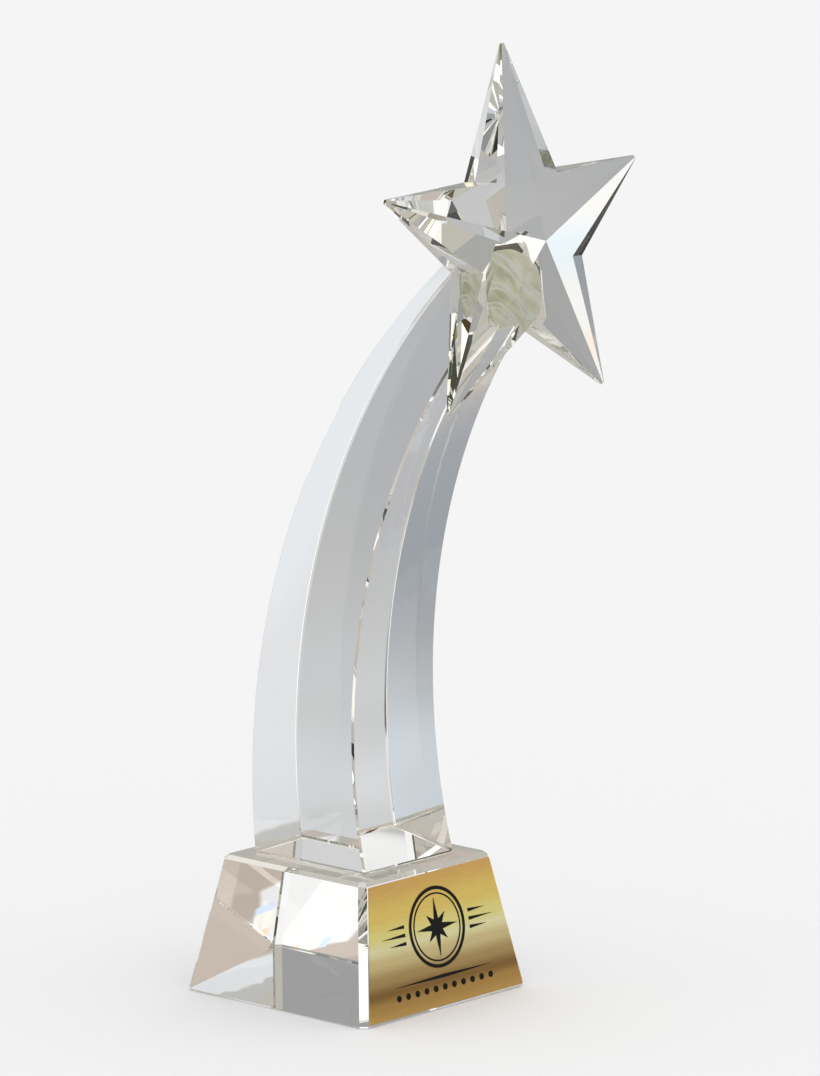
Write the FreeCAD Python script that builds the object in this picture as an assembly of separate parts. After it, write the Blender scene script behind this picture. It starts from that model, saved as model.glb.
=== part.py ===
import FreeCAD, Part

import math
import os

# Star trophy: a star, a bent column and a base of optical crystal, bonded together, with a metal plate.
# Millimetres. The origin is the centre of the base's underside, +Z is up and -Y is the front.

# Base: a square truncated pyramid with bevelled corners
BASE_SIDE = 75.0
BASE_TOP_SIDE = 59.0
BASE_HEIGHT = 42.7
BASE_CORNER_CUT = 2.0
BASE_RIM_BEVEL = 1.2
BASE_FOOT_BEVEL = 0.5

# Column: bent forward between two arcs in the YZ plane, and tapered between two arcs in the XZ plane
FRONT_ARC_CENTRE_Y = -211.0
FRONT_ARC_CENTRE_Z = 92.6
FRONT_ARC_RADIUS = 195.2
BACK_ARC_CENTRE_Y = -190.1
BACK_ARC_CENTRE_Z = 73.4
BACK_ARC_RADIUS = 216.1
COLUMN_FOOT_BREADTH = 41.0
COLUMN_MIDDLE_BREADTH = 32.2
COLUMN_TOP_BREADTH = 19.0
COLUMN_EDGE_BEVEL = 0.6
COLUMN_FOOT_BEVEL = 0.7

# Star: a five-sided double pyramid, cut to the outline of a regular pentagram
STAR_CENTRE_Y = -64.8
STAR_CENTRE_Z = 241.6
STAR_LEAN = 5.4
STAR_POINTS = 5
STAR_SHARP_RADIUS = 61.4
STAR_BLUNT_RADIUS = 59.2
STAR_HALF_THICKNESS = 12.3

# Adhesive layers
FOOT_BOND_THICKNESS = 0.2
FOOT_BOND_INSET = 0.3
STAR_BOND_THICKNESS = 0.25
STAR_BOND_FILL = 1.0

# Plate on the front face of the base, its adhesive film and its print
PLATE_THICKNESS = 0.5
PLATE_CORNER_RADIUS = 0.6
PLATE_SIDE_MARGIN = 0.3
PLATE_TOP_MARGIN = 1.5
PLATE_BOTTOM_MARGIN = 0.8
FILM_THICKNESS = 0.15
FILM_INSET = 0.6
PRINT_THICKNESS = 0.1

# Print: a rosette in a double ring, with rules and dots beside and below it
ROSETTE_HEIGHT = 25.0
ROSETTE_RAYS = 8
ROSETTE_LONG_RAY = 9.2
ROSETTE_SHORT_RAY = 5.8
ROSETTE_WAIST = 2.6
RING_RADII = (10.6, 12.6)
RING_WIDTHS = (0.5, 1.1)
RULE_LENGTH = 11.0
RULE_THICKNESS = 1.1
RULE_GAP = 2.6
RULE_START = 14.6
LOWER_RULE_HEIGHT = 9.8
LOWER_RULE_LENGTH = 46.0
DOT_COUNT = 11
DOT_SPACING = 4.2
DOT_RADIUS = 1.0
DOT_HEIGHT = 6.4

V = FreeCAD.Vector
X_AXIS = V(1, 0, 0)
Z_AXIS = V(0, 0, 1)
MARGIN = 5.0
REACH = 300.0
TOUCHING = 1e-4

BASE_SLOPE = math.degrees(math.atan2((BASE_SIDE - BASE_TOP_SIDE) / 2, BASE_HEIGHT))
BASE_FACE_LENGTH = math.hypot((BASE_SIDE - BASE_TOP_SIDE) / 2, BASE_HEIGHT)
COLUMN_FOOT_Z = BASE_HEIGHT + FOOT_BOND_THICKNESS

# A pentagram's notches and the flats of its pentagon, as shares of the radius of its points
HALF_POINT_ANGLE = math.pi / STAR_POINTS
FLAT_RATIO = math.cos(HALF_POINT_ANGLE)
NOTCH_RATIO = math.cos(2 * HALF_POINT_ANGLE) / math.cos(HALF_POINT_ANGLE)


def polygon(points):
    return Part.makePolygon(list(points) + [points[0]])


def leaned(shape, angle, origin):
    """Tips a shape back about X by an angle in degrees, then moves it to an origin."""
    placed = shape.copy()
    placed.Placement = FreeCAD.Placement(origin, FreeCAD.Rotation(X_AXIS, -angle))
    return placed


def extruded(wire, direction):
    return Part.Face(wire).extrude(direction)


def marked(solid, patches):
    """Splits the flat faces of a solid along the outlines of the patches that adhesive wets."""
    return solid.generalFuse(patches)[0].Solids[0]


# Base ---------------------------------------------------------------------------------------------

def cut_rectangle(half_width, front_y, back_y, z, cut):
    """A level rectangle, centred on x = 0, with its four corners cut off."""
    right = [(half_width - cut, front_y), (half_width, front_y + cut),
             (half_width, back_y - cut), (half_width - cut, back_y)]
    left = [(-x, y) for x, y in reversed(right)]
    return polygon([V(x, y, z) for x, y in right + left])


def cut_square(side, z):
    return cut_rectangle(side / 2, -side / 2, side / 2, z, BASE_CORNER_CUT)


def edges_at_height(shape, z):
    return [edge for edge in shape.Edges
            if all(abs(vertex.Z - z) < TOUCHING for vertex in edge.Vertexes)]


def base_block():
    foot = cut_square(BASE_SIDE, 0)
    top = cut_square(BASE_TOP_SIDE, BASE_HEIGHT)
    block = Part.makeLoft([foot, top], True, True)
    block = block.makeChamfer(BASE_RIM_BEVEL, edges_at_height(block, BASE_HEIGHT))
    block = block.makeChamfer(BASE_FOOT_BEVEL, edges_at_height(block, 0))
    return marked(block, [Part.Face(column_foot_bond_outline())])


# Star, in its own frame: centre at the origin, +Z up, -Y in front -----------------------------------

def star_direction(step):
    """The direction of a point for an even step, or of a notch for an odd one."""
    angle = math.pi / 2 + HALF_POINT_ANGLE * step
    return V(math.cos(angle), 0, math.sin(angle))


def star_outline():
    """A pentagram whose points are cut off square to their own direction."""
    blunt_half_width = (STAR_SHARP_RADIUS - STAR_BLUNT_RADIUS) * math.tan(HALF_POINT_ANGLE / 2)
    corners = []
    for step in range(0, 2 * STAR_POINTS, 2):
        point = star_direction(step)
        side = V(-point.z, 0, point.x)
        corners.append(point * STAR_BLUNT_RADIUS - side * blunt_half_width)
        corners.append(point * STAR_BLUNT_RADIUS + side * blunt_half_width)
        corners.append(star_direction(step + 1) * (STAR_SHARP_RADIUS * NOTCH_RATIO))
    return polygon(corners)


def double_pyramid():
    rim = [star_direction(step) * STAR_SHARP_RADIUS for step in range(0, 2 * STAR_POINTS, 2)]
    faces = []
    for apex_y in (-STAR_HALF_THICKNESS, STAR_HALF_THICKNESS):
        apex = V(0, apex_y, 0)
        for index, corner in enumerate(rim):
            faces.append(Part.Face(polygon([apex, corner, rim[(index + 1) % STAR_POINTS]])))
    return Part.makeSolid(Part.makeShell(faces))


def star_body():
    outline = star_outline().translated(V(0, -STAR_HALF_THICKNESS - MARGIN, 0))
    prism = extruded(outline, V(0, 2 * (STAR_HALF_THICKNESS + MARGIN), 0))
    return leaned(prism.common(double_pyramid()), STAR_LEAN, V(0, STAR_CENTRE_Y, STAR_CENTRE_Z))


def star():
    body = star_body()
    wetted = [face for face in star_bond().Faces if body.isInside(face.CenterOfMass, TOUCHING, True)]
    return marked(body, wetted)


# The star's lower back facet falls from the back apex to the flat between the two lower points.
FACET_SLOPE = math.degrees(math.atan2(STAR_HALF_THICKNESS, STAR_SHARP_RADIUS * FLAT_RATIO))
SEAT_LEAN = STAR_LEAN + FACET_SLOPE


def back_apex():
    lean = math.radians(STAR_LEAN)
    return V(0, STAR_CENTRE_Y + STAR_HALF_THICKNESS * math.cos(lean),
             STAR_CENTRE_Z - STAR_HALF_THICKNESS * math.sin(lean))


def seat_slab(start, end):
    """A wide slab parallel to the lower back facet, between two distances behind it."""
    slab = Part.makeBox(2 * REACH, end - start, 2 * REACH, V(-REACH, start, -REACH))
    return leaned(slab, SEAT_LEAN, back_apex())


# Column -------------------------------------------------------------------------------------------

def point_on_arc(centre_y, centre_z, radius, z):
    return V(0, centre_y + math.sqrt(radius ** 2 - (z - centre_z) ** 2), z)


def bent_profile(foot_z, top_z):
    """The column's side view, between its concave front arc and its convex back arc."""
    middle_z = (foot_z + top_z) / 2
    front = [point_on_arc(FRONT_ARC_CENTRE_Y, FRONT_ARC_CENTRE_Z, FRONT_ARC_RADIUS, z)
             for z in (foot_z, middle_z, top_z)]
    back = [point_on_arc(BACK_ARC_CENTRE_Y, BACK_ARC_CENTRE_Z, BACK_ARC_RADIUS, z)
            for z in (foot_z, middle_z, top_z)]
    return Part.Wire([
        Part.Arc(*front).toShape(),
        Part.LineSegment(front[-1], back[-1]).toShape(),
        Part.Arc(*reversed(back)).toShape(),
        Part.LineSegment(back[0], front[0]).toShape(),
    ])


def tapered_profile(foot_z, top_z):
    """The column's front view, narrowing upwards between two shallow arcs."""
    middle_z = (foot_z + top_z) / 2
    right = [V(COLUMN_FOOT_BREADTH / 2, 0, foot_z), V(COLUMN_MIDDLE_BREADTH / 2, 0, middle_z),
             V(COLUMN_TOP_BREADTH / 2, 0, top_z)]
    left = [V(-point.x, 0, point.z) for point in reversed(right)]
    return Part.Wire([
        Part.Arc(*right).toShape(),
        Part.LineSegment(right[-1], left[0]).toShape(),
        Part.Arc(*left).toShape(),
        Part.LineSegment(left[-1], right[0]).toShape(),
    ])


def column_bar(foot_z):
    """The column before its end is cut, from a height below the foot to the star's back apex."""
    top_z = back_apex().z
    bent = extruded(bent_profile(foot_z, top_z + MARGIN), V(2 * REACH, 0, 0))
    tapered = extruded(tapered_profile(foot_z, top_z + MARGIN), V(0, 2 * REACH, 0))
    bar = bent.translated(V(-REACH, 0, 0)).common(tapered.translated(V(0, -REACH, 0)))
    long_edges = [edge for edge in bar.Edges
                  if abs(edge.Vertexes[0].Z - edge.Vertexes[-1].Z) > BASE_SIDE]
    return bar.makeChamfer(COLUMN_EDGE_BEVEL, long_edges)


def column():
    bar = column_bar(COLUMN_FOOT_Z)
    bar = bar.makeChamfer(COLUMN_FOOT_BEVEL, edges_at_height(bar, COLUMN_FOOT_Z))
    return bar.common(seat_slab(STAR_BOND_THICKNESS, REACH))


# Adhesive -----------------------------------------------------------------------------------------

def star_bond():
    """Fills the gap behind the star's lower back facet, and a little way round its ridges."""
    bar = column_bar(COLUMN_FOOT_Z)
    return bar.common(seat_slab(-STAR_BOND_FILL, STAR_BOND_THICKNESS)).cut(star_body())


def column_foot_bond_outline():
    """Covers the flat of the column's foot, inside its bevel, on the top of the base."""
    flat = [face for face in column().Faces if abs(face.CenterOfMass.z - COLUMN_FOOT_Z) < TOUCHING][0].BoundBox
    return cut_rectangle(flat.XMax - FOOT_BOND_INSET, flat.YMin + FOOT_BOND_INSET,
                         flat.YMax - FOOT_BOND_INSET, BASE_HEIGHT, COLUMN_EDGE_BEVEL)


def column_foot_bond():
    return extruded(column_foot_bond_outline(), V(0, 0, FOOT_BOND_THICKNESS))


# Plate, in the plane of the front face: +Z up the slope, -Y out of it, origin at the foot of the face --

def on_front_face(shape):
    return leaned(shape, BASE_SLOPE, V(0, -BASE_SIDE / 2, 0))


def face_half_width(height):
    """Half the width of the flat front face at a height up its slope."""
    share = height / BASE_FACE_LENGTH
    side = BASE_SIDE + (BASE_TOP_SIDE - BASE_SIDE) * share
    return side / 2 - BASE_CORNER_CUT


def plate_blank(inset, near, thickness):
    """A trapezoid with rounded corners, lying a distance in front of the face."""
    foot = PLATE_BOTTOM_MARGIN + inset
    top = BASE_FACE_LENGTH - PLATE_TOP_MARGIN - inset
    foot_half = face_half_width(foot) - PLATE_SIDE_MARGIN - inset
    top_half = face_half_width(top) - PLATE_SIDE_MARGIN - inset
    outline = polygon([V(-foot_half, -near, foot), V(foot_half, -near, foot),
                       V(top_half, -near, top), V(-top_half, -near, top)])
    blank = extruded(outline, V(0, -thickness, 0))
    corners = [edge for edge in blank.Edges
               if abs(abs(edge.Vertexes[0].Y - edge.Vertexes[-1].Y) - thickness) < 1e-6]
    return on_front_face(blank.makeFillet(PLATE_CORNER_RADIUS, corners))


def plate_adhesive_film():
    return plate_blank(FILM_INSET, 0, FILM_THICKNESS)


def name_plate():
    return plate_blank(0, FILM_THICKNESS, PLATE_THICKNESS)


# Print ---------------------------------------------------------------------------------------------

PRINT_Y = -(FILM_THICKNESS + PLATE_THICKNESS)


def printed(outline):
    return extruded(outline, V(0, -PRINT_THICKNESS, 0))


def disc(x, z, radius):
    centre = V(x, PRINT_Y, z)
    return Part.makeCylinder(radius, PRINT_THICKNESS, centre, V(0, -1, 0))


def ring(radius, width):
    outer = disc(0, ROSETTE_HEIGHT, radius)
    return outer.cut(disc(0, ROSETTE_HEIGHT, radius - width))


def rosette():
    corners = []
    for step in range(2 * ROSETTE_RAYS):
        angle = math.pi / ROSETTE_RAYS * step
        ray = ROSETTE_LONG_RAY if step % 4 == 0 else ROSETTE_SHORT_RAY
        radius = ray if step % 2 == 0 else ROSETTE_WAIST
        corners.append(V(radius * math.sin(angle), PRINT_Y, ROSETTE_HEIGHT + radius * math.cos(angle)))
    return printed(polygon(corners))


def tapered_rule(start, length, z):
    """A rule that narrows to a point away from its start."""
    end = start + length
    half = RULE_THICKNESS / 2
    return printed(polygon([V(start, PRINT_Y, z - half), V(end, PRINT_Y, z), V(start, PRINT_Y, z + half)]))


def side_rules():
    rules = []
    for side in (-1, 1):
        for row, share in ((-1, 0.7), (0, 1.0), (1, 0.7)):
            z = ROSETTE_HEIGHT + row * RULE_GAP
            rules.append(tapered_rule(side * RULE_START, side * RULE_LENGTH * share, z))
    return rules


def lower_rule():
    half = LOWER_RULE_LENGTH / 2
    z = LOWER_RULE_HEIGHT
    corners = [V(-half, PRINT_Y, z), V(0, PRINT_Y, z - RULE_THICKNESS / 2),
               V(half, PRINT_Y, z), V(0, PRINT_Y, z + RULE_THICKNESS / 2)]
    return printed(polygon(corners))


def dots():
    first = -DOT_SPACING * (DOT_COUNT - 1) / 2
    return [disc(first + DOT_SPACING * index, DOT_HEIGHT, DOT_RADIUS) for index in range(DOT_COUNT)]


def plate_print():
    pieces = [ring(radius, width) for radius, width in zip(RING_RADII, RING_WIDTHS)]
    pieces += [rosette(), lower_rule()] + side_rules() + dots()
    return on_front_face(Part.makeCompound(pieces))


NODES = (base_block, column, star, column_foot_bond, star_bond, plate_adhesive_film, name_plate, plate_print)


def main():
    os.makedirs("parts", exist_ok=True)
    for node in NODES:
        shape = node()
        shape.exportStep(os.path.join("parts", node.__name__ + ".step"))
        print(node.__name__, shape.isValid(), len(shape.Solids), round(shape.Volume, 2))


main()
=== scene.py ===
import math

import bmesh
import bpy
import numpy as np
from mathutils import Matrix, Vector
from mathutils.bvhtree import BVHTree


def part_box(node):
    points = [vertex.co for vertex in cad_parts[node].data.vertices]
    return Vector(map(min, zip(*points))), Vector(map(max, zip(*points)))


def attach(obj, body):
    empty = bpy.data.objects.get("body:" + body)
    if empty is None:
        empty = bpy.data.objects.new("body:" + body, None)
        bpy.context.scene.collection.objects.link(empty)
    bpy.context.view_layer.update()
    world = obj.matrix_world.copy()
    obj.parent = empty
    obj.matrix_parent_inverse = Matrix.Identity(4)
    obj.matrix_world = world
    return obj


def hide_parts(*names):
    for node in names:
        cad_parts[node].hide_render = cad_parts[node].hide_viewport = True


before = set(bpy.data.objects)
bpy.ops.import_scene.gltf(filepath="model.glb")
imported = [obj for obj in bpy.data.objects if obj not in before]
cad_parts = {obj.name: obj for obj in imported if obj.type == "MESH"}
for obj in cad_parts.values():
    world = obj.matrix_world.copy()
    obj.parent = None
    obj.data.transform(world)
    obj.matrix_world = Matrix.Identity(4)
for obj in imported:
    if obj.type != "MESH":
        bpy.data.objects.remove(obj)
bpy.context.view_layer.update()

MM = 0.001

CRYSTAL_INDEX = 1.52
WETTED_INDEX = 1.001  # all but invisible: light goes straight on
RIPPLES = {"base_block": 0.03 * MM, "column": 0.05 * MM, "star": 0.02 * MM}
RIPPLE_SCALE = 45.0
FLOOR_REACH = 8.0
FLOOR_HEIGHT = -0.2 * MM
TABLE_HEIGHT = -0.1 * MM
BOUNCES = 128


# Camera ---------------------------------------------------------------------------------------------

CAMERA_AZIMUTH = -48.0
CAMERA_ELEVATION = 11.54
CAMERA_DISTANCE = 2.757
CAMERA_LENS = 301.1
TARGET_HEIGHT = 141.7 * MM
TARGET_RIGHT = 16.65 * MM


def make_camera():
    azimuth = math.radians(CAMERA_AZIMUTH)
    elevation = math.radians(CAMERA_ELEVATION)
    right = Vector((math.cos(azimuth), math.sin(azimuth), 0))
    back = Vector((math.sin(azimuth) * math.cos(elevation), -math.cos(azimuth) * math.cos(elevation),
                   math.sin(elevation)))
    target = right * TARGET_RIGHT + Vector((0, 0, TARGET_HEIGHT))
    data = bpy.data.cameras.new("camera")
    data.lens = CAMERA_LENS
    data.sensor_fit = "AUTO"
    data.sensor_width = 36.0
    data.clip_end = 50.0
    camera = bpy.data.objects.new("camera", data)
    camera.location = target + back * CAMERA_DISTANCE
    camera.rotation_euler = (-back).to_track_quat("-Z", "Y").to_euler()
    bpy.context.scene.collection.objects.link(camera)
    bpy.context.scene.camera = camera


# Node helpers ---------------------------------------------------------------------------------------

class Nodes:
    """A short way to write a node tree."""

    def __init__(self, tree):
        self.tree = tree
        tree.nodes.clear()

    def add(self, kind, inputs=None, **settings):
        node = self.tree.nodes.new(kind)
        for name, value in settings.items():
            setattr(node, name, value)
        for name, value in (inputs or {}).items():
            self.feed(node.inputs[name], value)
        return node

    def feed(self, socket, value):
        if isinstance(value, bpy.types.NodeSocket):
            self.tree.links.new(value, socket)
        else:
            socket.default_value = value


def new_material(name):
    material = bpy.data.materials.new(name)
    material.use_nodes = True
    return material, Nodes(material.node_tree)


def surface(nodes, shader):
    output = nodes.add("ShaderNodeOutputMaterial")
    nodes.feed(output.inputs["Surface"], shader)


def math_node(nodes, operation, *values):
    node = nodes.add("ShaderNodeMath", operation=operation)
    for socket, value in zip(node.inputs, values):
        nodes.feed(socket, value)
    return node.outputs["Value"]


def mixed(nodes, share, below, above, blend_type="MIX"):
    node = nodes.add("ShaderNodeMix", data_type="RGBA", blend_type=blend_type)
    share_input, below_input, above_input = node.inputs[0], node.inputs[6], node.inputs[7]
    nodes.feed(share_input, share)
    nodes.feed(below_input, below)
    nodes.feed(above_input, above)
    return node.outputs[2]


# Materials ------------------------------------------------------------------------------------------

def crystal(name, index=CRYSTAL_INDEX, ripple=0.0):
    """Clear glass, whose surface may wave by a ripple's depth."""
    material, nodes = new_material(name)
    glass = nodes.add("ShaderNodeBsdfPrincipled", {
        "Base Color": (1.0, 1.0, 1.0, 1.0), "Roughness": 0.0, "IOR": index, "Transmission Weight": 1.0})
    if ripple:
        waves = nodes.add("ShaderNodeTexNoise", {
            "Vector": coordinates(nodes), "Scale": RIPPLE_SCALE, "Detail": 1.0}).outputs["Fac"]
        bump = nodes.add("ShaderNodeBump", {"Height": waves, "Strength": 1.0, "Distance": ripple})
        nodes.feed(glass.inputs["Normal"], bump.outputs["Normal"])
    surface(nodes, glass.outputs["BSDF"])
    return material


def coordinates(nodes):
    return nodes.add("ShaderNodeTexCoord").outputs["Object"]


def ramp(nodes, value, stops, interpolation="EASE"):
    node = nodes.add("ShaderNodeValToRGB", {"Fac": value})
    node.color_ramp.interpolation = interpolation
    elements = node.color_ramp.elements
    while len(elements) < len(stops):
        elements.new(0.5)
    for element, (place, color) in zip(elements, stops):
        element.position = place
        element.color = (*color, 1.0)
    return node.outputs["Color"]


def stretched_noise(nodes, vector, stretch, scale, detail=3.0):
    along = nodes.add("ShaderNodeMapping", {"Vector": vector, "Scale": stretch}).outputs["Vector"]
    return nodes.add("ShaderNodeTexNoise", {"Vector": along, "Scale": scale, "Detail": detail}).outputs["Fac"]


PAINTED_SHEEN_BANDS = [  # share of the plate's height, colour with painted sheen
    (0.00, (0.68, 0.42, 0.13)),
    (0.10, (0.55, 0.33, 0.10)),
    (0.19, (0.30, 0.17, 0.05)),
    (0.30, (0.52, 0.36, 0.15)),
    (0.42, (0.80, 0.66, 0.33)),
    (0.53, (1.00, 0.95, 0.55)),
    (0.60, (1.00, 0.90, 0.34)),
    (0.76, (0.98, 0.74, 0.20)),
    (1.00, (0.86, 0.53, 0.17)),
]


def gold_plate():
    """Satin gold whose colour carries painted sheen: soft bands of reflected light and dark across it."""
    material, nodes = new_material("gold_plate")
    low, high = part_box("name_plate")
    place = coordinates(nodes)
    height = nodes.add("ShaderNodeSeparateXYZ", {"Vector": place}).outputs["Z"]
    level = nodes.add("ShaderNodeMapRange", {"Value": height, "From Min": low[2], "From Max": high[2]})
    # Painted sheen: bands of reflected light and dark, laid into the gold's colour by height.
    painted_sheen = ramp(nodes, level.outputs["Result"], PAINTED_SHEEN_BANDS)
    brushed = stretched_noise(nodes, place, (60.0, 900.0, 900.0), 3.0)
    fine = ramp(nodes, brushed, [(0.3, (0.93, 0.93, 0.93)), (0.7, (1.0, 1.0, 1.0))], "LINEAR")
    tone = mixed(nodes, 1.0, painted_sheen, fine, "MULTIPLY")
    roughness = nodes.add("ShaderNodeMapRange", {
        "Value": brushed, "To Min": 0.26, "To Max": 0.38}).outputs["Result"]
    bump = nodes.add("ShaderNodeBump", {"Height": brushed, "Strength": 0.05, "Distance": 0.02 * MM})
    shader = nodes.add("ShaderNodeBsdfPrincipled", {
        "Base Color": tone, "Roughness": roughness, "Metallic": 0.75, "Normal": bump.outputs["Normal"]})
    surface(nodes, shader.outputs["BSDF"])
    return material


def black_ink():
    """Printed ink with a fine grain."""
    material, nodes = new_material("black_ink")
    grain = nodes.add("ShaderNodeTexNoise", {
        "Vector": coordinates(nodes), "Scale": 4000.0, "Detail": 2.0}).outputs["Fac"]
    tone = ramp(nodes, grain, [(0.3, (0.004, 0.004, 0.004)), (0.7, (0.012, 0.011, 0.010))], "LINEAR")
    roughness = nodes.add("ShaderNodeMapRange", {
        "Value": grain, "To Min": 0.45, "To Max": 0.65}).outputs["Result"]
    shader = nodes.add("ShaderNodeBsdfPrincipled", {
        "Base Color": tone, "Roughness": roughness, "Specular IOR Level": 0.15})
    surface(nodes, shader.outputs["BSDF"])
    return material


PATCH_RIGHT = -1.0 * MM
PATCH_UP = -2.0 * MM
PATCH_POWER = 2.6
PATCH_EDGE = 1.1
PATCH_WAVER = 0.3
STREAK_TURN = 0.6


def patch_distance(nodes, place, low, high, waver):
    """How far out a point is on a rounded, slightly uneven patch of adhesive: below PATCH_EDGE is inside."""
    axes = nodes.add("ShaderNodeSeparateXYZ", {"Vector": place}).outputs
    distance = math_node(nodes, "MULTIPLY", waver, PATCH_WAVER)
    for axis, index, shift in (("X", 0, PATCH_RIGHT), ("Z", 2, PATCH_UP)):
        middle = (low[index] + high[index]) / 2 + shift
        half = (high[index] - low[index]) / 2
        share = math_node(nodes, "DIVIDE", math_node(nodes, "SUBTRACT", axes[axis], middle), half)
        power = math_node(nodes, "POWER", math_node(nodes, "ABSOLUTE", share), PATCH_POWER)
        distance = math_node(nodes, "ADD", distance, power)
    return distance


def cured_adhesive():
    """Pale adhesive with streaks and swirls, clear beyond its rounded edge."""
    material, nodes = new_material("cured_adhesive")
    low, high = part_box("star_bond")
    place = coordinates(nodes)
    turned = nodes.add("ShaderNodeMapping", {
        "Vector": place, "Rotation": (0.0, STREAK_TURN, 0.0)}).outputs["Vector"]
    lines = nodes.add("ShaderNodeTexWave", {
        "Vector": turned, "Scale": 34.0, "Distortion": 9.0, "Detail": 1.0, "Detail Scale": 1.2},
        bands_direction="X").outputs["Fac"]
    smear = stretched_noise(nodes, turned, (1.0, 1.0, 0.22), 320.0)
    pale = ramp(nodes, smear, [
        (0.34, (0.60, 0.62, 0.43)), (0.50, (0.84, 0.84, 0.64)), (0.64, (0.95, 0.95, 0.82))], "LINEAR")
    bright = ramp(nodes, lines, [
        (0.00, (0.0, 0.0, 0.0)), (0.62, (0.0, 0.0, 0.0)), (0.80, (1.0, 1.0, 1.0)), (1.00, (0.2, 0.2, 0.2))],
        "LINEAR")
    tone = mixed(nodes, bright, pale, (0.97, 0.97, 0.90, 1.0))
    glue = nodes.add("ShaderNodeBsdfPrincipled", {"Base Color": tone, "Roughness": 0.35})
    waver = nodes.add("ShaderNodeTexNoise", {"Vector": place, "Scale": 60.0, "Detail": 2.0}).outputs["Fac"]
    inside = math_node(nodes, "LESS_THAN", patch_distance(nodes, place, low, high, waver), PATCH_EDGE)
    clear = nodes.add("ShaderNodeBsdfTransparent")
    mix = nodes.add("ShaderNodeMixShader", {"Fac": inside})
    nodes.feed(mix.inputs[1], clear.outputs["BSDF"])
    nodes.feed(mix.inputs[2], glue.outputs["BSDF"])
    surface(nodes, mix.outputs["Shader"])
    return material


def mounting_film():
    """Off-white film with a finely pitted, faintly blotched surface."""
    material, nodes = new_material("mounting_film")
    place = coordinates(nodes)
    blotches = nodes.add("ShaderNodeTexNoise", {
        "Vector": place, "Scale": 240.0, "Detail": 3.0}).outputs["Fac"]
    tone = ramp(nodes, blotches, [(0.35, (0.72, 0.71, 0.67)), (0.65, (0.84, 0.84, 0.81))], "LINEAR")
    cells = nodes.add("ShaderNodeTexVoronoi", {"Vector": place, "Scale": 2500.0}).outputs["Distance"]
    bump = nodes.add("ShaderNodeBump", {"Strength": 0.6, "Distance": 0.05 * MM, "Height": cells})
    shader = nodes.add("ShaderNodeBsdfPrincipled", {
        "Base Color": tone, "Roughness": 0.6, "Normal": bump.outputs["Normal"]})
    surface(nodes, shader.outputs["BSDF"])
    return material


def dress(node, *materials):
    """Puts materials, in slot order, on a node of the frame."""
    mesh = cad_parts[node].data
    mesh.materials.clear()
    for material in materials:
        mesh.materials.append(material)


# Wetted faces: where adhesive wets a crystal, light goes straight on --------------------------------

TOUCHING = 0.01 * MM
FACING = -0.9


def wet(node, bond):
    """Gives the second material slot of a crystal to its faces that lie on a bond."""
    bond_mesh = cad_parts[bond].data
    tree = BVHTree.FromPolygons([vertex.co for vertex in bond_mesh.vertices],
                                [tuple(face.vertices) for face in bond_mesh.polygons])
    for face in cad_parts[node].data.polygons:
        _, normal, _, distance = tree.find_nearest(face.center)
        if distance < TOUCHING and normal.dot(face.normal) < FACING:
            face.material_index = 1


# Thin layers, drawn in a little so that no two surfaces lie in one place ----------------------------

CLEARANCE = 0.03 * MM
WELD = 0.001 * MM


def shrunk_copy(node, name, material):
    """A closed copy that takes a node's place, with each face moved inwards by the clearance."""
    shape = bmesh.new()
    shape.from_mesh(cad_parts[node].data)
    bmesh.ops.remove_doubles(shape, verts=shape.verts, dist=WELD)
    bmesh.ops.recalc_face_normals(shape, faces=shape.faces)
    moves = []
    for vertex in shape.verts:
        normals = np.array([face.normal for face in vertex.link_faces])
        move = np.linalg.lstsq(normals, np.full(len(normals), -CLEARANCE), rcond=1e-3)[0]
        moves.append(Vector(move))
    for vertex, move in zip(shape.verts, moves):
        vertex.co += move
    mesh = bpy.data.meshes.new(name)
    shape.to_mesh(mesh)
    shape.free()
    mesh.materials.append(material)
    piece = bpy.data.objects.new(name, mesh)
    bpy.context.scene.collection.objects.link(piece)
    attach(piece, "root")
    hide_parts(node)


# Stage ----------------------------------------------------------------------------------------------
# The camera, and light that a matt surface has scattered, meet a plain pale floor under an even dome. Rays
# through or off crystal and metal meet a staged studio instead: soft boxes and dark flags round the trophy,
# and coloured sheets on a table, each laid over the ones before it. Azimuth 0 is the front, and it grows to
# the right seen from the front. Colours are radiances.

PALE = (0.913, 0.913, 0.913)
WHITE = (1.0, 1.0, 1.0)

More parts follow.
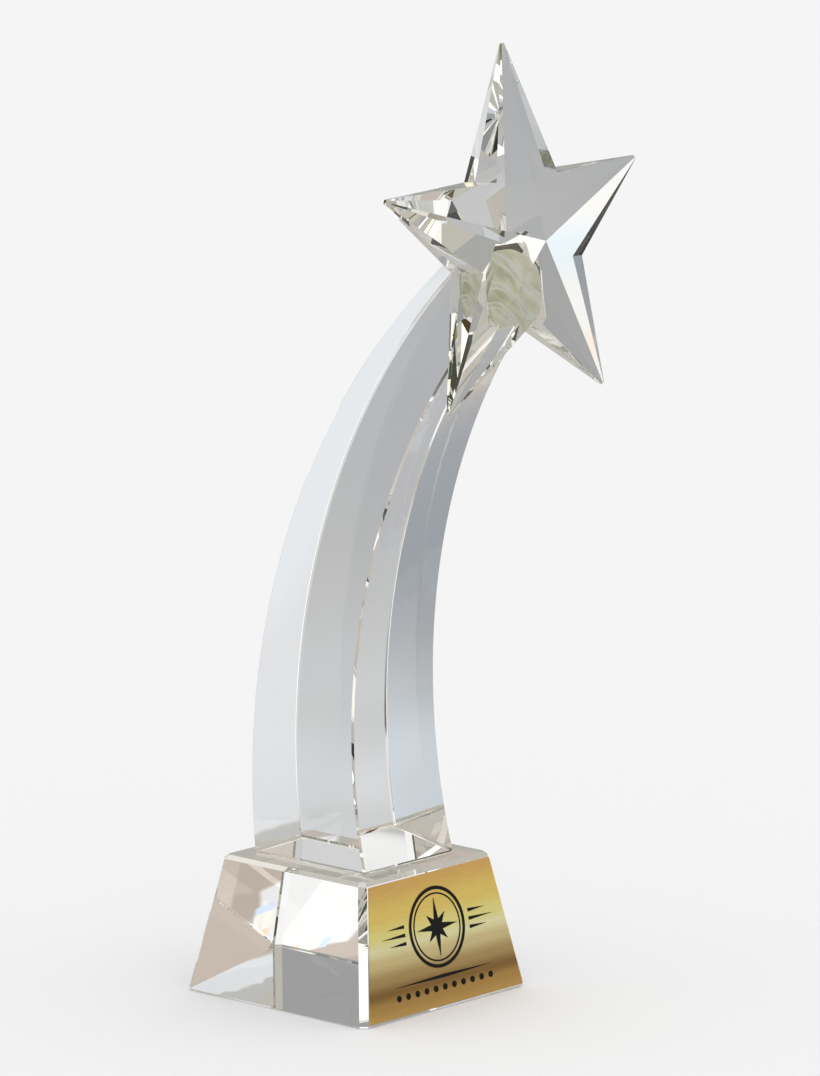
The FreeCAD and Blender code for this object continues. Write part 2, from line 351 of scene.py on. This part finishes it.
ROOM = (0.50, 0.48, 0.43)
SOFT_BOXES = [  # azimuth, elevation, width, height and soft edge in degrees, radiance
    (-30, 62, 90, 24, 3, (1.25, 1.22, 1.12)),
    (125, 52, 90, 24, 4, (1.00, 0.96, 0.88)),
    (90, 72, 80, 14, 3, (1.40, 1.28, 0.95)),
    (45, 48, 40, 20, 6, (0.88, 0.85, 0.78)),
    (-5, 20, 44, 42, 3, (1.30, 1.26, 1.18)),
    (-45, 30, 24, 16, 2, (1.40, 1.36, 1.22)),
    (-70, 14, 30, 22, 2, (0.30, 0.27, 0.12)),
    (-38, 61, 44, 13, 2, (0.08, 0.05, 0.02)),
    (-93, 50, 32, 26, 2, (0.05, 0.05, 0.03)),
    (-92, 32, 20, 12, 2, (0.03, 0.05, 0.03)),
    (-143, 30, 38, 34, 2, (0.03, 0.05, 0.04)),
    (155, 70, 100, 16, 3, (0.08, 0.05, 0.02)),
    (180, 36, 30, 12, 2, (0.02, 0.02, 0.02)),
    (36, 22, 22, 12, 2, (0.05, 0.05, 0.05)),
    (52, 29, 26, 10, 4, (0.58, 0.50, 0.43)),
    (60, 14, 16, 12, 2, (0.02, 0.02, 0.02)),
    (84, 14, 18, 16, 2, (0.02, 0.02, 0.02)),
    (105, 28, 18, 12, 2, (0.02, 0.02, 0.02)),
    (115, 3, 14, 5, 2, (0.03, 0.03, 0.04)),
    (120, 11, 18, 10, 2, (1.20, 1.18, 1.10)),
    (138, 11, 20, 22, 3, (0.32, 0.33, 0.33)),
    (162, 12, 26, 20, 3, (1.05, 1.03, 0.98)),
    (-115, 3, 16, 6, 2, (0.02, 0.02, 0.02)),
    (-138, 3, 10, 5, 2, (0.00, 0.00, 0.00)),
]

TABLE = (0.50, 0.49, 0.44)
SHEETS = [  # azimuth, width (degrees), near, far (metres), side edge (degrees), edge in log radius, radiance
    # Close to the base
    (0, 360, 0.030, 0.13, 10, 0.2, (0.54, 0.49, 0.43)),
    (149, 78, 0.044, 0.10, 3, 0.05, (1.02, 1.02, 1.02)),
    (88, 44, 0.026, 0.060, 3, 0.05, (0.60, 0.51, 0.44)),
    (119, 36, 0.026, 0.0465, 3, 0.03, (0.60, 0.51, 0.44)),
    (-30, 60, 0.012, 0.034, 4, 0.05, (0.04, 0.04, 0.03)),
    (-70, 80, 0.050, 0.18, 10, 0.2, (1.15, 1.14, 1.10)),
    # Further out
    (75, 60, 0.100, 0.38, 20, 0.4, (0.80, 0.83, 0.86)),
    (52, 30, 0.190, 0.41, 8, 0.1, (0.76, 0.77, 0.79)),
    (56, 34, 0.420, 0.70, 8, 0.1, (0.50, 0.50, 0.49)),
    (126, 40, 0.100, 0.20, 10, 0.2, (0.60, 0.61, 0.61)),
    (126, 40, 0.190, 0.34, 10, 0.6, (0.68, 0.70, 0.72)),
    (-130, 60, 0.100, 0.30, 10, 0.6, (0.60, 0.65, 0.70)),
    (-130, 60, 0.300, 1.00, 10, 0.7, (0.27, 0.30, 0.34)),
    (0, 50, 0.320, 0.66, 20, 0.3, (0.70, 0.68, 0.60)),
    (90, 34, 0.400, 0.72, 10, 0.2, (0.50, 0.52, 0.54)),
    (180, 60, 0.100, 0.34, 20, 0.5, (0.78, 0.80, 0.82)),
    (180, 60, 0.340, 0.80, 20, 0.7, (0.60, 0.61, 0.63)),
    (128, 36, 0.290, 0.48, 8, 0.6, (0.56, 0.57, 0.58)),
    (128, 36, 0.480, 0.90, 8, 0.6, (0.44, 0.45, 0.47)),
    (128, 36, 0.880, 1.50, 8, 0.3, (0.36, 0.37, 0.39)),
    (154, 12, 0.300, 0.80, 3, 0.1, (0.05, 0.05, 0.05)),
    (-82, 36, 0.300, 0.44, 3, 0.1, (0.26, 0.26, 0.26)),
    (-50, 28, 0.800, 1.50, 3, 0.1, (0.03, 0.03, 0.03)),
    (82, 50, 1.150, 1.60, 3, 0.1, (0.04, 0.04, 0.04)),
    # Far behind, with pastel strips
    (148, 40, 1.550, 5.00, 4, 0.1, (1.02, 1.01, 0.98)),
    (148, 40, 1.560, 1.66, 4, 0.04, (0.72, 0.84, 1.05)),
    (148, 40, 1.860, 1.98, 4, 0.06, (1.08, 0.95, 0.84)),
    (148, 40, 2.300, 2.60, 4, 0.10, (0.90, 1.00, 1.05)),
    # Far to the right and in front
    (70, 40, 1.800, 9.00, 5, 0.2, (0.55, 0.53, 0.48)),
    (0, 80, 1.400, 9.00, 10, 0.2, (0.90, 0.80, 0.50)),
    # A small rainbow flash beside the base
    (119, 3, 0.0455, 0.0495, 0.8, 0.02, (0.78, 0.93, 1.15)),
    (124, 7, 0.0455, 0.0495, 0.8, 0.02, (1.12, 1.10, 1.00)),
    (129, 3, 0.0455, 0.0495, 0.8, 0.02, (1.20, 0.85, 0.55)),
    # A small dark flag
    (100, 8, 0.440, 0.56, 2, 0.05, (0.04, 0.04, 0.04)),
]


def band(nodes, value, centre, half, edge, wrap=False):
    """1 where a value is within half of centre, falling to 0 over a soft edge."""
    away = math_node(nodes, "SUBTRACT", value, centre)
    if wrap:
        away = math_node(nodes, "WRAP", away, 180.0, -180.0)
    away = math_node(nodes, "ABSOLUTE", away)
    fall = nodes.add("ShaderNodeMapRange", {
        "Value": away, "From Min": half + edge / 2, "From Max": half - edge / 2},
        interpolation_type="SMOOTHSTEP")
    return fall.outputs["Result"]


def azimuth_of(nodes, x, y):
    """Degrees round from the front, -Y."""
    angle = math_node(nodes, "ARCTAN2", x, math_node(nodes, "MULTIPLY", y, -1.0))
    return math_node(nodes, "DEGREES", angle)


def laid_over(nodes, below, color, mask):
    """A colour over what is below it, where its mask is 1."""
    if not isinstance(below, bpy.types.NodeSocket):
        below = (*below, 1.0)
    return mixed(nodes, mask, below, (*color, 1.0))


def make_world():
    world = bpy.data.worlds.new("studio")
    bpy.context.scene.world = world
    world.use_nodes = True
    world.cycles.sampling_method = "NONE"
    nodes = Nodes(world.node_tree)
    direction = nodes.add("ShaderNodeTexCoord").outputs["Generated"]
    axes = nodes.add("ShaderNodeSeparateXYZ", {"Vector": direction}).outputs
    azimuth = azimuth_of(nodes, axes["X"], axes["Y"])
    elevation = math_node(nodes, "DEGREES", math_node(nodes, "ARCSINE", axes["Z"]))
    room = ROOM
    for middle, middle_height, width, height, edge, radiance in SOFT_BOXES:
        across = band(nodes, azimuth, middle, width / 2, edge, wrap=True)
        up = band(nodes, elevation, middle_height, height / 2, edge)
        room = laid_over(nodes, room, radiance, math_node(nodes, "MULTIPLY", across, up))
    path = nodes.add("ShaderNodeLightPath").outputs
    after_diffuse = math_node(nodes, "GREATER_THAN", path["Diffuse Depth"], 0.5)
    plain_ray = math_node(nodes, "MAXIMUM", path["Is Camera Ray"], after_diffuse)
    seen = laid_over(nodes, room, WHITE, plain_ray)
    background = nodes.add("ShaderNodeBackground", {"Color": seen, "Strength": 1.0})
    output = nodes.add("ShaderNodeOutputWorld")
    nodes.feed(output.inputs["Surface"], background.outputs["Background"])


def square(name, height, material):
    mesh = bpy.data.meshes.new(name)
    sides = ((-1, -1), (1, -1), (1, 1), (-1, 1))
    corners = [(x * FLOOR_REACH, y * FLOOR_REACH, height) for x, y in sides]
    mesh.from_pydata(corners, [], [(0, 1, 2, 3)])
    mesh.materials.append(material)
    piece = bpy.data.objects.new(name, mesh)
    bpy.context.scene.collection.objects.link(piece)
    return piece


def table_material():
    material, nodes = new_material("floor_table")
    axes = nodes.add("ShaderNodeSeparateXYZ", {"Vector": coordinates(nodes)}).outputs
    azimuth = azimuth_of(nodes, axes["X"], axes["Y"])
    flat = nodes.add("ShaderNodeCombineXYZ", {"X": axes["X"], "Y": axes["Y"]}).outputs["Vector"]
    radius = nodes.add("ShaderNodeVectorMath", {"Vector": flat}, operation="LENGTH").outputs["Value"]
    reach = math_node(nodes, "LOGARITHM", radius, math.e)
    table = TABLE
    for middle, width, near, far, side_edge, reach_edge, radiance in SHEETS:
        middle_reach = (math.log(near) + math.log(far)) / 2
        half_reach = (math.log(far) - math.log(near)) / 2
        mask = band(nodes, reach, middle_reach, half_reach, reach_edge)
        if width < 360:
            across = band(nodes, azimuth, middle, width / 2, side_edge, wrap=True)
            mask = math_node(nodes, "MULTIPLY", mask, across)
        table = laid_over(nodes, table, radiance, mask)
    glow = nodes.add("ShaderNodeEmission", {"Color": table, "Strength": 1.0})
    surface(nodes, glow.outputs["Emission"])
    return material


def floor_material():
    material, nodes = new_material("floor")
    matt = nodes.add("ShaderNodeBsdfDiffuse", {"Color": (*PALE, 1.0)})
    surface(nodes, matt.outputs["BSDF"])
    return material


def make_floor():
    square("floor", FLOOR_HEIGHT, floor_material())
    table = square("floor_table", TABLE_HEIGHT, table_material())
    table.visible_camera = False
    table.visible_diffuse = False
    table.visible_shadow = False


def set_quality():
    scene = bpy.context.scene
    scene.view_settings.view_transform = "Standard"
    scene.cycles.max_bounces = BOUNCES
    scene.cycles.transmission_bounces = BOUNCES
    scene.cycles.glossy_bounces = BOUNCES


# The trophy -----------------------------------------------------------------------------------------

make_camera()
make_world()
make_floor()
set_quality()
bonded = crystal("bonded_crystal", WETTED_INDEX)
shrunk_copy("column_foot_bond", "foot_bond_layer", bonded)
shrunk_copy("star_bond", "star_bond_layer", cured_adhesive())
shrunk_copy("plate_adhesive_film", "plate_film_sheet", mounting_film())
for part, ripple in RIPPLES.items():
    dress(part, crystal(part + "_crystal", ripple=ripple), bonded)
wet("base_block", "column_foot_bond")
wet("column", "column_foot_bond")
wet("column", "star_bond")
wet("star", "star_bond")
dress("name_plate", gold_plate())
dress("plate_print", black_ink())
